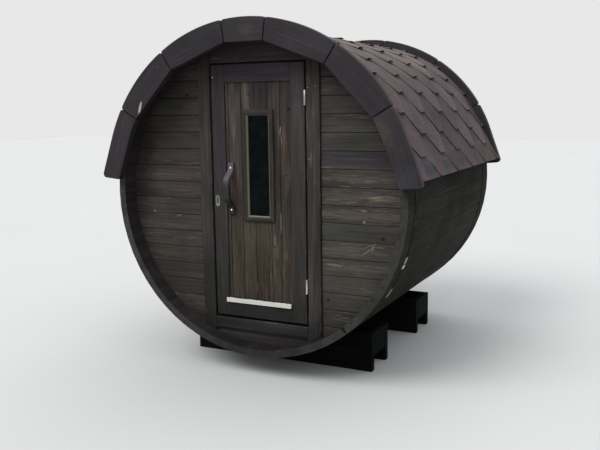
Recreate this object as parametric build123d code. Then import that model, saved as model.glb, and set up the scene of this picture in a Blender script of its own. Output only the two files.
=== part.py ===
"""Barrel sauna with a shingled roof and a framed front door.

Millimetres, +Z up, +Y towards the rear, front door facing -Y. The origin is on the ground,
under the middle of the barrel. The barrel lies on its side along Y and rests on two cradles.
Every piece is written to parts/NAME.step as its own solid or solids.
"""
import math
import os

from build123d import *

# Barrel of staves
barrel_length = 1900.0          # stave end to stave end
barrel_radius = 985.0           # axis to the outer corners of the staves
stave_thickness = 45.0
stave_count = 60
stave_segments = 10             # nodes that the ring of staves is written in
stave_groove = 3.0              # bevel beside each joint between two staves
ground_clearance = 125.0        # lowest stave above the ground

# General clearances
seat_gap = 0.3                  # a piece and the curved seat that holds it
face_gap = 0.2                  # two flat faces that meet
moving_gap = 6.0                # the door and whatever it moves past
cut_margin = 1.0                # a cut past the face that it starts from

# End walls of horizontal boards, held in a groove cut round the inside of the staves
wall_thickness = 45.0
wall_recess = 110.0             # stave ends to the outer face of a wall
wall_groove_depth = 12.0
wall_board = 105.4              # height of one board
wall_board_start = 71.0         # one board joint, above the barrel axis
board_bevel = 4.0               # V joint between two boards

# Hoops
hoop_thickness = 2.0
hoop_width = 35.0
hoop_inset = 125.0              # stave ends to the hoop

# Roof: round over the upper staves, then straight down to eaves that stand off them
skirt_deg = 28.0                # where the straight part starts, above the level of the axis
skirt_length = 372.0            # straight part of the deck
deck_thickness = 12.0
shingle_thickness = 8.5
shingle_overhang = 12.0         # shingles past the lower edge of the deck
eaves_batten_width = 65.0       # along the slope
eaves_batten_set_in = 8.0       # from the lower edge of the deck

# Fascia boards over the stave ends and the roof ends
fascia_thickness = 48.0
fascia_rim = 46.0               # fascia outside the shingles
fascia_cover = 65.0             # fascia inside the outer corners of the staves
fascia_straight_deg = 20.0      # the lowest board is straight below this
keystone_deg = 16.0
fascia_board_deg = 25.6
fascia_boards_a_side = 3
fascia_joint_gap = 2.5
fascia_corner_radius = 11.0
fascia_foot_radius = 24.0       # outer corner at the foot of the lowest board
fascia_edge_bevel = 5.0

# Cradles
cradle_inset = 355.0            # stave ends to the near face of a cradle
cradle_depth = 292.0
cradle_half_width = 640.0
cradle_height = 243.0
cradle_plank = 45.0
cradle_end_height = 148.0       # end board, from the top of the cradle down

# Doorway
doorway_half_width = 330.0
doorway_headroom = 179.0        # top of the doorway below the top of the staves
doorway_sill = 199.0            # top of the threshold above the lowest stave
post_width = 85.0
frame_front = 95.0              # stave ends to the outer face of the posts
frame_back = 176.0
threshold_height = 72.0
stop_width = 26.0
stop_depth = 22.0

# Door leaf
leaf_side_gap = 12.0
leaf_bottom_gap = 16.0
leaf_setback = 3.0              # outer face of the leaf behind that of the posts
leaf_thickness = 42.0
stile_width = 92.0
top_rail_height = 106.0
bottom_rail_height = 118.0
panel_thickness = 24.0
panel_setback = 10.0            # outer face of the boards behind that of the stiles
panel_tongue = 10.0             # boards let into the stiles and rails
panel_boards = 5

# Window in the door
window_width = 142.0            # glass that shows
window_height = 610.0
window_middle = 182.0           # middle of the glass, above the barrel axis
bead_width = 36.0
bead_proud = 12.0               # bead outside the face of the boards
glass_thickness = 6.0
glass_cover = 5.0               # edge of the glass under the bead
glass_clearance = 0.4           # glass and the edge of its hole

# Door furniture
handle_inset = 36.0             # edge of the boards to the middle of the handle
handle_middle = 40.0            # above the barrel axis
handle_length = 322.0
handle_width = 38.0
handle_reach = 78.0             # out from the boards
handle_grip = 26.5              # thickness of the bow
handle_grip_length = 128.0      # straight part, on the outside
handle_foot = 43.0              # length of each foot, on the outside
handle_toe = 16.0               # thickness at each end
handle_heel = 8.0               # foot and grip reach this much further along on the inside
handle_bend = 30.0              # radius of each bend
escutcheon_inset = 27.0         # edge of the leaf to the middle of the plate
escutcheon_middle = -38.0
escutcheon_width = 29.0
escutcheon_height = 71.0
escutcheon_thickness = 3.0
keyhole_radius = 4.5
keyhole_slot = 18.0
drip_height = 29.0
drip_overlap = 14.0             # strip past the boards, over the lock stile
drip_shortfall = 9.0            # strip short of the edge of the boards, on the hinge side
drip_thickness = 12.0

# Butt hinges
hinge_length = 86.0
hinge_knuckle_radius = 6.5
hinge_pin_radius = 3.0
hinge_pin_gap = 0.4
hinge_plate = 2.5
hinge_plate_depth = 34.0
hinge_knuckles = 3
hinge_knuckle_gap = 0.5
hinge_below_top = 205.0         # top of the leaf to the middle of the upper hinge
hinge_above_foot = 235.0        # foot of the leaf to the middle of the lower hinge
hinge_forward = 4.0             # pin in front of the outer face of the posts

# Floor of slats on bearers
floor_drop = 4.0                # below the top of the threshold
slat_thickness = 22.0
slat_width = 96.0
slat_gap = 6.0
floor_end_gap = 8.0
bearer_thickness = 40.0
bearer_count = 3

# Places worked out from the sizes above
axis_height = ground_clearance + barrel_radius
stave_deg = 360.0 / stave_count
stave_inner_radius = barrel_radius - stave_thickness
clear_radius = stave_inner_radius * math.cos(math.radians(stave_deg / 2)) - seat_gap
wall_radius = stave_inner_radius + wall_groove_depth - seat_gap
front_end = -barrel_length / 2
rear_end = barrel_length / 2
doorway_top = barrel_radius - doorway_headroom
doorway_bottom = doorway_sill - barrel_radius
deck_inner_radius = barrel_radius + seat_gap
deck_outer_radius = deck_inner_radius + deck_thickness
shingle_outer_radius = deck_outer_radius + face_gap + shingle_thickness
fascia_outer_radius = shingle_outer_radius + fascia_rim
fascia_inner_radius = barrel_radius - fascia_cover
leaf_half_width = doorway_half_width - leaf_side_gap
leaf_top = doorway_top - leaf_side_gap
leaf_bottom = doorway_bottom + leaf_bottom_gap
leaf_front = front_end + frame_front + leaf_setback
leaf_back = leaf_front + leaf_thickness
panel_front = leaf_front + panel_setback
panel_back = panel_front + panel_thickness
panel_half_width = leaf_half_width - stile_width
handle_x = handle_inset - panel_half_width
escutcheon_x = escutcheon_inset - leaf_half_width
hinge_x = doorway_half_width - leaf_side_gap / 2
hinge_y = front_end + frame_front - hinge_forward


def polar(radius, degrees):
    """Point at an angle from +X, seen from the front, about the barrel axis."""
    return (radius * math.cos(math.radians(degrees)), radius * math.sin(math.radians(degrees)))


def upright(outline, y_front, y_back):
    """Give depth along Y to an outline drawn across the barrel, about its axis."""
    plane = Plane(origin=(0, y_front, axis_height), x_dir=(1, 0, 0), z_dir=(0, -1, 0))
    return extrude(plane * outline, amount=y_front - y_back)


def block(x0, x1, y0, y1, z0, z1):
    """Box between two corners, with z counted from the barrel axis."""
    middle = ((x0 + x1) / 2, (y0 + y1) / 2, axis_height + (z0 + z1) / 2)
    return Pos(*middle) * Box(x1 - x0, y1 - y0, z1 - z0)


def drum(radius, y_front, y_back):
    return upright(Circle(radius), y_front, y_back)


def write(name, *solids):
    """Write one node; several solids in a node never touch."""
    shape = solids[0] if len(solids) == 1 else Compound(children=list(solids))
    export_step(shape, f"parts/{name}.step")


def grooved_facets(first, count):
    """Outside of a run of staves: flat faces, with a V at every joint between two."""
    points = [polar(barrel_radius - stave_groove, first)]
    for number in range(count):
        start = Vector(*polar(barrel_radius, first + number * stave_deg))
        end = Vector(*polar(barrel_radius, first + (number + 1) * stave_deg))
        along = (end - start).normalized() * stave_groove
        points += [tuple(start + along)[:2], tuple(end - along)[:2]]
        points.append(polar(barrel_radius - stave_groove, first + (number + 1) * stave_deg))
    return points


def plain_facets(first, count):
    """Inside of a run of staves, where the joints are tight."""
    return [polar(stave_inner_radius, first + number * stave_deg) for number in range(count + 1)]


def stave_segment(number):
    """Staves side by side, with the grooves that hold the two end walls."""
    count = stave_count // stave_segments
    first = -90.0 + number * count * stave_deg
    outer = grooved_facets(first, count)
    inner = plain_facets(first, count)
    body = upright(make_face(Polyline(*outer, *reversed(inner), close=True)), front_end, rear_end)
    for y_front, y_back in (front_wall_span(), rear_wall_span()):
        body -= drum(wall_radius + seat_gap, y_front - face_gap, y_back + face_gap)
    return body


def front_wall_span():
    y_front = front_end + wall_recess
    return y_front, y_front + wall_thickness


def rear_wall_span():
    y_back = rear_end - wall_recess
    return y_back - wall_thickness, y_back


def hoop(y_front):
    """Steel band pulled tight over the corners of the staves."""
    inner = barrel_radius + seat_gap
    outline = RegularPolygon(inner + hoop_thickness, stave_count) - RegularPolygon(inner, stave_count)
    return upright(outline, y_front, y_front + hoop_width)


def hoop_places():
    return front_end + hoop_inset, rear_end - hoop_inset - hoop_width


def roof_layer(inner, outer, length):
    """Right half of one layer: round from the ridge down, then straight to the eaves."""
    ridge_deg = 90.0 - math.degrees(face_gap / 2 / barrel_radius)
    drop = Vector(*polar(length, skirt_deg - 90.0))
    inner_skirt = polar(inner, skirt_deg)
    outer_skirt = polar(outer, skirt_deg)
    inner_low = tuple(Vector(*inner_skirt) + drop)[:2]
    outer_low = tuple(Vector(*outer_skirt) + drop)[:2]
    lines = [
        CenterArc((0, 0), outer, skirt_deg, ridge_deg - skirt_deg),
        Line(polar(outer, ridge_deg), polar(inner, ridge_deg)),
        CenterArc((0, 0), inner, ridge_deg, skirt_deg - ridge_deg),
        Line(inner_skirt, inner_low),
        Line(inner_low, outer_low),
        Line(outer_low, outer_skirt),
    ]
    return upright(make_face(Curve() + lines), front_end, rear_end)


def clear_of_hoops(piece):
    """Cut the shallow channels in which a piece on the staves passes over the hoops."""
    for y_front in hoop_places():
        piece -= drum(deck_inner_radius + hoop_thickness + seat_gap,
                      y_front - seat_gap, y_front + hoop_width + seat_gap)
    return piece


def roof_deck():
    return clear_of_hoops(roof_layer(deck_inner_radius, deck_outer_radius, skirt_length))


def roof_shingles():
    return roof_layer(deck_outer_radius + face_gap, shingle_outer_radius, skirt_length + shingle_overhang)


def eaves_batten():
    """Wedge-shaped batten that carries the lower edge of the deck off the staves."""
    low = skirt_length - eaves_batten_set_in
    top_face = deck_inner_radius - face_gap
    depth = top_face - math.sqrt(barrel_radius ** 2 - low ** 2) + stave_thickness
    middle = Vector(*polar(top_face - depth / 2, skirt_deg))
    middle += Vector(*polar(low - eaves_batten_width / 2, skirt_deg - 90.0))
    section = Location((middle.X, middle.Y, 0), (0, 0, skirt_deg)) * Rectangle(depth, eaves_batten_width)
    batten = upright(section - Circle(barrel_radius + seat_gap), front_end, rear_end)
    return clear_of_hoops(batten)


def both_sides(right):
    """A piece on the right and its mirror image on the left."""
    return right, mirror(right, about=Plane.YZ)


def board_edge(radius, start, end, form):
    """Outer or inner edge of a fascia board, from its lower end to its upper end."""
    trim = math.degrees(fascia_joint_gap / 2 / radius)
    low = start + trim
    high = end - trim
    if form == "straight":
        return [Line(polar(radius, low), polar(radius, high))]
    if form == "round":
        return [CenterArc((0, 0), radius, low, high - low)]
    foot = polar(radius / math.cos(math.radians(fascia_straight_deg - low)), low)
    return [
        Line(foot, polar(radius, fascia_straight_deg)),
        CenterArc((0, 0), radius, fascia_straight_deg, high - fascia_straight_deg),
    ]


def fascia_board(start, end, y_front, lowest=False):
    """One fascia board; the lowest turns straight towards its foot, the others are cut straight inside."""
    outer = board_edge(fascia_outer_radius, start, end, "footed" if lowest else "round")
    inner = board_edge(fascia_inner_radius, start, end, "footed" if lowest else "straight")
    corners = [(outer[0] @ 0, fascia_foot_radius if lowest else fascia_corner_radius)]
    corners += [(point, fascia_corner_radius) for point in (inner[0] @ 0, inner[-1] @ 1, outer[-1] @ 1)]
    ends = [Line(outer[0] @ 0, inner[0] @ 0), Line(inner[-1] @ 1, outer[-1] @ 1)]
    outline = make_face(Curve() + outer + inner + ends)
    for point, radius in corners:
        outline = fillet(outline.vertices().sort_by_distance(point)[0], radius)
    board = upright(outline, y_front, y_front + fascia_thickness)
    shown_face = board.faces().sort_by(Axis.Y)[0 if y_front < 0 else -1]
    return chamfer(shown_face.edges(), fascia_edge_bevel)


def fascia(y_front):
    """The seven boards of one end: three on the right, the keystone, three on the left."""
    key_start = 90.0 - keystone_deg / 2
    right = []
    for number in range(fascia_boards_a_side):
        start = key_start - (number + 1) * fascia_board_deg
        lowest = number == fascia_boards_a_side - 1
        right.append(fascia_board(start, start + fascia_board_deg, y_front, lowest))
    left = [mirror(board, about=Plane.YZ) for board in right]
    return right, fascia_board(key_start, 180.0 - key_start, y_front), left


def saddle(y_front):
    """Plank on edge, cut to the round of the barrel."""
    base = -axis_height
    plank = block(-cradle_half_width, cradle_half_width, y_front, y_front + cradle_plank,
                  base, base + cradle_height)
    return plank - drum(barrel_radius + seat_gap, y_front - cut_margin, y_front + cradle_plank + cut_margin)


def cradle(y_front):
    """Two saddle planks and the board that closes each end between them."""
    y_back = y_front + cradle_depth
    saddles = [saddle(y_front), saddle(y_back - cradle_plank)]
    top = cradle_height - axis_height
    inside = cradle_half_width - cradle_plank
    ends = []
    for x0, x1 in ((-cradle_half_width, -inside), (inside, cradle_half_width)):
        ends.append(block(x0, x1, y_front + cradle_plank + face_gap, y_back - cradle_plank - face_gap,
                          top - cradle_end_height, top))
    return saddles, ends


def boarded_disc(y_inside, y_outside):
    """Round wall of horizontal boards, with a V at every joint on the outside."""
    inward = math.copysign(board_bevel / 2, y_inside - y_outside)
    half = board_bevel / 2
    height = wall_board_start - math.ceil((wall_radius + wall_board_start) / wall_board) * wall_board
    shown = [(y_outside, height)]
    while height < wall_radius:
        height += wall_board
        shown += [(y_outside, height - half), (y_outside + inward, height), (y_outside, height + half)]
    outline = make_face(Polyline(*shown, (y_inside, height + half), (y_inside, shown[0][1]), close=True))
    plane = Plane(origin=(-barrel_radius, 0, axis_height), x_dir=(0, 1, 0), z_dir=(1, 0, 0))
    boards = extrude(plane * outline, amount=2 * barrel_radius)
    return boards & drum(wall_radius, min(y_inside, y_outside), max(y_inside, y_outside))


def front_wall():
    """Wall left and right of the doorway, and the piece under the threshold."""
    y_front, y_back = front_wall_span()
    disc = boarded_disc(y_back, y_front)
    reach = 2 * barrel_radius
    side = doorway_half_width + post_width + face_gap
    left = disc & block(-reach, -side, y_front, y_back, -reach, reach)
    right = disc & block(side, reach, y_front, y_back, -reach, reach)
    inner = doorway_half_width - face_gap
    top = doorway_bottom - threshold_height - face_gap
    bottom = disc & block(-inner, inner, y_front, y_back, -reach, top)
    return left, right, bottom


def framed(piece):
    """Trim a piece of the door frame to the staves, and let it into the wall groove."""
    y_front, y_back = front_wall_span()
    within = drum(clear_radius, front_end, frame_back + front_end)
    return (piece & within) + (piece & drum(wall_radius, y_front, y_back))


def door_post(side):
    reach = 2 * barrel_radius
    inner = doorway_half_width
    outer = doorway_half_width + post_width
    x0, x1 = (inner, outer) if side > 0 else (-outer, -inner)
    return framed(block(x0, x1, front_end + frame_front, front_end + frame_back, -reach, reach))


def door_header():
    inner = doorway_half_width - face_gap
    reach = 2 * barrel_radius
    y_front = front_end + frame_front + leaf_setback
    return framed(block(-inner, inner, y_front, front_end + frame_back, doorway_top, reach))


def door_threshold():
    inner = doorway_half_width - face_gap
    return block(-inner, inner, front_end + frame_front, front_end + frame_back,
                 doorway_bottom - threshold_height, doorway_bottom)


def door_stops():
    """Battens that the leaf closes on, fixed inside the posts and under the header."""
    y_front = leaf_back + moving_gap
    y_back = y_front + stop_depth
    outer = doorway_half_width - face_gap
    inner = outer - stop_width
    top = doorway_top - face_gap
    bottom = doorway_bottom + face_gap
    under = top - stop_width - face_gap
    left = block(-outer, -inner, y_front, y_back, bottom, under)
    right = block(inner, outer, y_front, y_back, bottom, under)
    head = block(-outer, outer, y_front, y_back, top - stop_width, top)
    return left, right, head


def floor_slats():
    """As many slats side by side as fit between the staves."""
    top = doorway_bottom - floor_drop
    y_front = front_end + frame_back + floor_end_gap
    y_back = rear_wall_span()[0] - floor_end_gap
    pitch = slat_width + slat_gap
    room = 2 * math.sqrt(clear_radius ** 2 - (top - slat_thickness) ** 2)
    slat_count = int(room / pitch)
    slats = []
    for number in range(slat_count):
        middle = (number - (slat_count - 1) / 2) * pitch
        slats.append(block(middle - slat_width / 2, middle + slat_width / 2, y_front, y_back,
                           top - slat_thickness, top))
    return slats


def floor_bearers():
    """Bearers under the slats, cut to the round of the staves."""
    top = doorway_bottom - floor_drop - slat_thickness - face_gap
    y_front = front_end + frame_back + floor_end_gap
    y_back = rear_wall_span()[0] - floor_end_gap - bearer_thickness
    reach = 2 * barrel_radius
    bearers = []
    for number in range(bearer_count):
        y0 = y_front + (y_back - y_front) * number / (bearer_count - 1)
        y1 = y0 + bearer_thickness
        bearers.append(drum(clear_radius, y0, y1) & block(-reach, reach, y0, y1, -reach, top))
    return bearers


def panel_limits():
    return panel_half_width, leaf_bottom + bottom_rail_height, leaf_top - top_rail_height


def panel_slot():
    side, low, high = panel_limits()
    grow = panel_tongue + face_gap
    return block(-side - grow, side + grow, panel_front - face_gap, panel_back + face_gap,
                 low - grow, high + grow)


def door_stiles():
    stiles = []
    for x0, x1 in ((-leaf_half_width, -panel_half_width), (panel_half_width, leaf_half_width)):
        stiles.append(block(x0, x1, leaf_front, leaf_back, leaf_bottom, leaf_top) - panel_slot())
    return stiles


def door_rails():
    side, low, high = panel_limits()
    rails = []
    for z0, z1 in ((leaf_bottom, low), (high, leaf_top)):
        rail = block(face_gap - side, side - face_gap, leaf_front, leaf_back, z0, z1)
        rails.append(rail - panel_slot())
    return rails


def window_hole(grow):
    half = window_width / 2 + grow
    tall = window_height / 2 + grow
    return -half, half, window_middle - tall, window_middle + tall


def door_panel():
    """Upright boards with V joints, let into the stiles and rails, and cut for the window."""
    side, low, high = panel_limits()
    wide = side + panel_tongue
    pitch = 2 * side / panel_boards
    half = board_bevel / 2
    front = [(-wide, panel_front)]
    back = [(-wide, panel_back)]
    for number in range(1, panel_boards):
        joint = -side + number * pitch
        front += [(joint - half, panel_front), (joint, panel_front + half), (joint + half, panel_front)]
        back += [(joint - half, panel_back), (joint, panel_back - half), (joint + half, panel_back)]
    front.append((wide, panel_front))
    back.append((wide, panel_back))
    outline = make_face(Polyline(*front, *reversed(back), close=True))
    bottom = axis_height + low - panel_tongue
    boards = extrude(Plane.XY.offset(bottom) * outline, amount=high - low + 2 * panel_tongue)
    x0, x1, z0, z1 = window_hole(glass_cover)
    return boards - block(x0, x1, panel_front - cut_margin, panel_back + cut_margin, z0, z1)


def window_glass():
    x0, x1, z0, z1 = window_hole(glass_cover - glass_clearance)
    y_front = (panel_front + panel_back - glass_thickness) / 2
    return block(x0, x1, y_front, y_front + glass_thickness, z0, z1)


def window_bead(y_face, outward):
    """Mitred moulding round the glass: a flat frame with a lip that reaches in to the pane."""
    x0, x1, z0, z1 = window_hole(bead_width)
    a0, a1, b0, b1 = window_hole(0)
    h0, h1, v0, v1 = window_hole(glass_cover - glass_clearance)
    glass_half = glass_thickness / 2 + glass_clearance
    pane_face = (panel_front + panel_back) / 2 + outward * glass_half
    shown = y_face + outward * bead_proud
    rim_low, rim_high = sorted((y_face + outward * face_gap, shown))
    lip_low, lip_high = sorted((pane_face, shown))
    frame = block(x0, x1, rim_low, rim_high, z0, z1) + block(h0, h1, lip_low, lip_high, v0, v1)
    return frame - block(a0, a1, lip_low - cut_margin, lip_high + cut_margin, b0, b1)


def door_handle():
    """Wooden bow handle: a straight grip, carried on two slanting limbs with flat feet."""
    half = handle_length / 2
    foot = half - handle_foot
    grip = handle_grip_length / 2
    inner = handle_reach - handle_grip
    heel = foot - handle_heel
    hold = grip - handle_heel
    outside = [(foot, handle_toe), (grip, handle_reach), (-grip, handle_reach), (-foot, handle_toe)]
    inside = [(-heel, 0), (-hold, inner), (hold, inner), (heel, 0)]
    upper_end = [(half, 0), (half, handle_toe)]
    lower_end = [(-half, handle_toe), (-half, 0)]
    outline = make_face(Polyline(*upper_end, *outside, *lower_end, *inside, close=True))
    for bend in outside + inside:
        outline = fillet(outline.vertices().sort_by_distance(bend)[0], handle_bend)
    corner = (handle_x - handle_width / 2, panel_front - face_gap, axis_height + handle_middle)
    plane = Plane(origin=corner, x_dir=(0, 0, 1), z_dir=(1, 0, 0))
    return extrude(plane * outline, amount=handle_width)


def escutcheon():
    """Oval keyhole plate on the lock stile."""
    slot = SlotCenterToCenter(escutcheon_height - escutcheon_width, escutcheon_width, rotation=90)
    hole = SlotCenterToCenter(keyhole_slot, 2 * keyhole_radius, rotation=90)
    plate = Pos(escutcheon_x, escutcheon_middle) * (slot - hole)
    return upright(plate, leaf_front - face_gap - escutcheon_thickness, leaf_front - face_gap)


def drip_strip():
    top = leaf_bottom + bottom_rail_height
    left = -panel_half_width - drip_overlap
    right = panel_half_width - drip_shortfall
    y_back = leaf_front - face_gap
    return block(left, right, y_back - drip_thickness, y_back, top - drip_height, top)


def hinge_heights():
    return leaf_bottom + hinge_above_foot, leaf_top - hinge_below_top


def on_pin(radius, bottom, top):
    """Round piece about the hinge pin."""
    return extrude(Plane(origin=(hinge_x, hinge_y, axis_height + bottom)) * Circle(radius),
                   amount=top - bottom)


def hinge(middle):
    """One butt hinge: the half on the post with the pin, and the half on the leaf."""
    bottom = middle - hinge_length / 2
    top = middle + hinge_length / 2
    step = hinge_length / hinge_knuckles
    y_back = hinge_y + hinge_plate_depth
    notch = hinge_knuckle_radius + hinge_knuckle_gap
    half_gap = hinge_knuckle_gap / 2
    post_x = doorway_half_width - face_gap
    leaf_x = leaf_half_width + face_gap
    post_half = block(post_x - hinge_plate, post_x, hinge_y, y_back, bottom, top)
    leaf_half = block(leaf_x, leaf_x + hinge_plate, hinge_y, y_back, bottom, top)
    for number in range(hinge_knuckles):
        low = bottom + number * step
        high = low + step
        room = block(hinge_x - notch, hinge_x + notch, hinge_y - notch, hinge_y + notch,
                     low - half_gap, high + half_gap)
        knuckle = on_pin(hinge_knuckle_radius, low + half_gap, high - half_gap)
        if number % 2:
            post_half -= room
            leaf_half += knuckle
        else:
            leaf_half -= room
            post_half += knuckle
    pin = on_pin(hinge_pin_radius, bottom + half_gap, top - half_gap)
    bore = on_pin(hinge_pin_radius + hinge_pin_gap, bottom - cut_margin, top + cut_margin)
    return post_half + pin, leaf_half - bore


os.makedirs("parts", exist_ok=True)

for segment in range(stave_segments):
    write(f"staves_{segment + 1:02d}", stave_segment(segment))
write("hoops", *[hoop(place) for place in hoop_places()])

for layer_name, layer in (("roof_deck", roof_deck()), ("roof_shingles", roof_shingles())):
    right_layer, left_layer = both_sides(layer)
    write(f"{layer_name}_right", right_layer)
    write(f"{layer_name}_left", left_layer)
write("eaves_battens", *both_sides(eaves_batten()))

for end_name, fascia_front in (("front", front_end - fascia_thickness - face_gap),
                               ("rear", rear_end + face_gap)):
    right_boards, key_board, left_boards = fascia(fascia_front)
    write(f"fascia_{end_name}_right", *right_boards)
    write(f"fascia_{end_name}_keystone", key_board)
    write(f"fascia_{end_name}_left", *left_boards)

for cradle_name, cradle_front in (("front", front_end + cradle_inset),
                                  ("rear", rear_end - cradle_inset - cradle_depth)):
    saddle_planks, end_boards = cradle(cradle_front)
    write(f"cradle_{cradle_name}_saddles", *saddle_planks)
    write(f"cradle_{cradle_name}_ends", *end_boards)

wall_left, wall_right, wall_bottom = front_wall()
write("front_wall_left", wall_left)
write("front_wall_right", wall_right)
write("front_wall_bottom", wall_bottom)
write("rear_wall", boarded_disc(*rear_wall_span()))

write("door_post_left", door_post(-1))
write("door_post_right", door_post(1))
write("door_header", door_header())
write("door_threshold", door_threshold())
write("door_stops", *door_stops())
write("floor_slats", *floor_slats())
write("floor_bearers", *floor_bearers())

write("door_stiles", *door_stiles())
write("door_rails", *door_rails())
write("door_panel", door_panel())
write("window_glass", window_glass())
write("window_beads", window_bead(panel_front, -1), window_bead(panel_back, 1))
write("door_handle", door_handle())
write("lock_escutcheon", escutcheon())
write("drip_strip", drip_strip())

post_halves = []
leaf_halves = []
for hinge_height in hinge_heights():
    on_post, on_leaf = hinge(hinge_height)
    post_halves.append(on_post)
    leaf_halves.append(on_leaf)
write("hinge_post_halves", *post_halves)
write("hinge_door_halves", *leaf_halves)
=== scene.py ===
import random
from math import acos, cos, degrees, hypot, pi, radians, sin, sqrt, tan

import bmesh
import bpy
from mathutils import Matrix, Vector


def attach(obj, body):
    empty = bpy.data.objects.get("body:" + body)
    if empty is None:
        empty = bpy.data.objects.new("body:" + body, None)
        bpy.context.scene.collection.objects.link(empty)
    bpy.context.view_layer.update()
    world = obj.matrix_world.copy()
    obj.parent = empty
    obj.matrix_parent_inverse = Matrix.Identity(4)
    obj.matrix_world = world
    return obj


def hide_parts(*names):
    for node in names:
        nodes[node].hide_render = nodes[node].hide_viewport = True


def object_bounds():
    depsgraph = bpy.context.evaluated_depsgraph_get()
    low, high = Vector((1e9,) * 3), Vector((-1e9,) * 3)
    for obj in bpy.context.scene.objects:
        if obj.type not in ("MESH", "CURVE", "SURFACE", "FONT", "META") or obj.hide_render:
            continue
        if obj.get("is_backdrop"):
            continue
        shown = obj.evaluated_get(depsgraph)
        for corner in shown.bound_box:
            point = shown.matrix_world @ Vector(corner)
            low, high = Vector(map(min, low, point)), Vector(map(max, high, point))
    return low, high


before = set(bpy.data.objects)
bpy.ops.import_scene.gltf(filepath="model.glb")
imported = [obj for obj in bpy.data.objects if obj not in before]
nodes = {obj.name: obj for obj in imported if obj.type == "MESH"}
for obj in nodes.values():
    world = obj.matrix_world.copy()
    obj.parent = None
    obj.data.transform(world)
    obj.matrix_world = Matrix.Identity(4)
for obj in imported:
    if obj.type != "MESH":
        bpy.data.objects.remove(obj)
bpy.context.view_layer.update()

# Camera
# It stands at eye height, some five metres from the door and well to its right, and looks slightly down.
camera = bpy.data.objects.new("camera", bpy.data.cameras.new("camera"))
bpy.context.collection.objects.link(camera)
camera.data.lens = 45.7
camera.data.sensor_width = 36
yaw, pitch, roll = -0.4603, -0.15572, -0.01352
ahead = Vector((sin(yaw) * cos(pitch), cos(yaw) * cos(pitch), sin(pitch)))
level = Vector((cos(yaw), -sin(yaw), 0))
rise = level.cross(ahead)
right_hand = cos(roll) * level + sin(roll) * rise
overhead = cos(roll) * rise - sin(roll) * level
camera_turn = Matrix((right_hand, overhead, -ahead)).transposed().to_4x4()
camera.matrix_world = Matrix.Translation((2.27355, -4.87316, 1.65401)) @ camera_turn
bpy.context.scene.camera = camera
bpy.context.scene.view_settings.view_transform = "Standard"

# Cradles
# Each cradle is two softwood planks on edge, sawn to the round of the barrel, with a short board
# screwed across each end. They stand straight on the ground. Their dark stain is coloured nearly black,
# which is painted shade from under the barrel, and the end boards are lighter as painted light on their outer
# faces.
axis_height = 1.11
barrel_radius = 0.985
bare_radius = 0.9425
porch_start, stave_end = 0.83, 0.9492
cradle_half_width = 0.64
cradle_height = 0.243
cradle_plank = 0.045


def placed(origin, along, across):
    """Matrix for a plank: its outline runs along and across, and its thickness goes square to both."""
    along, across = Vector(along), Vector(across)
    turn = Matrix((along, across, along.cross(across))).transposed().to_4x4()
    return Matrix.Translation(origin) @ turn


def facing(y, height=axis_height):
    """Matrix for a plank across the barrel: its outline is x and z, and its thickness goes forward."""
    return placed((0, y, height), (1, 0, 0), (0, 0, 1))


def oblong(u_low, v_low, u_high, v_high):
    return [(u_low, v_low), (u_high, v_low), (u_high, v_high), (u_low, v_high)]


def grain_start(chance):
    """Where in its tree a board was sawn."""
    return Vector((chance.uniform(-9, 9), chance.uniform(-4, 4), chance.uniform(-4, 4)))


def plank(outline, thickness, place, seed, rounding=0.003, steps=2, share=None, stave=False):
    """One board as points, faces, and each point's place in its grain, its board and its nearness to an edge.
    A stave's grain runs through its thickness, and only its outer long edges are eased."""
    chance = random.Random(seed)
    solid = bmesh.new()
    under = [solid.verts.new((u, v, 0)) for u, v in outline]
    over = [solid.verts.new((u, v, thickness)) for u, v in outline]
    solid.faces.new(under[::-1])
    solid.faces.new(over)
    for number, (first, second) in enumerate(zip(under, over)):
        after = (number + 1) % len(under)
        solid.faces.new((first, under[after], over[after], second))
    bmesh.ops.recalc_face_normals(solid, faces=solid.faces)
    corners = [edge for edge in solid.edges if edge.calc_face_angle(0) > 0.5]
    if stave:
        top = max(v for u, v in outline) - 0.001
        corners = [edge for edge in corners
            if all(vert.co.y > top for vert in edge.verts) and edge.verts[0].co.z != edge.verts[1].co.z]
    eased = bmesh.ops.bevel(solid, geom=corners, offset=rounding, offset_type="OFFSET", segments=steps,
        profile=0.5, affect="EDGES", clamp_overlap=True)
    soft = set(eased["faces"])
    start = grain_start(chance)
    share = chance.random() if share is None else share
    solid.verts.index_update()
    points, grains, edges = [], [], []
    for vert in solid.verts:
        u, v, w = vert.co
        points.append(place @ vert.co)
        grains.append(start + Vector((w, u, v) if stave else (u, v, w)))
        edges.append(1.0 if all(face in soft for face in vert.link_faces) else 0.0)
    faces = [[vert.index for vert in face.verts] for face in solid.faces]
    solid.free()
    return points, faces, grains, [share] * len(points), edges


def beam(low, high, along, seed, rounding=0.003, steps=2, share=None):
    """A straight board between two corners, with its grain along X, Y or Z."""
    turn = {"X": (0, 1, 2), "Y": (1, 2, 0), "Z": (2, 0, 1)}[along]
    axes = ((1, 0, 0), (0, 1, 0), (0, 0, 1))
    long, wide, thick = (high[n] - low[n] for n in turn)
    place = placed(low, axes[turn[0]], axes[turn[1]])
    return plank(oblong(0, 0, long, wide), thick, place, seed, rounding, steps, share)


def new_object(name, points, faces, *materials):
    mesh = bpy.data.meshes.new(name)
    mesh.from_pydata(points, [], faces)
    for material in materials:
        mesh.materials.append(material)
    made = bpy.data.objects.new(name, mesh)
    bpy.context.collection.objects.link(made)
    return made


def smooth_under(mesh, turn):
    """Shades a mesh smooth, apart from edges that turn by more than so many degrees."""
    mesh.shade_smooth()
    mesh.set_sharp_from_angle(angle=radians(turn))


def settle(piece, body, slot, *replaced):
    """Says what a piece moves with and which CAD nodes it stands for. The finish given as slot is not used.
    """
    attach(piece, body)
    if replaced:
        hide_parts(*replaced)


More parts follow.
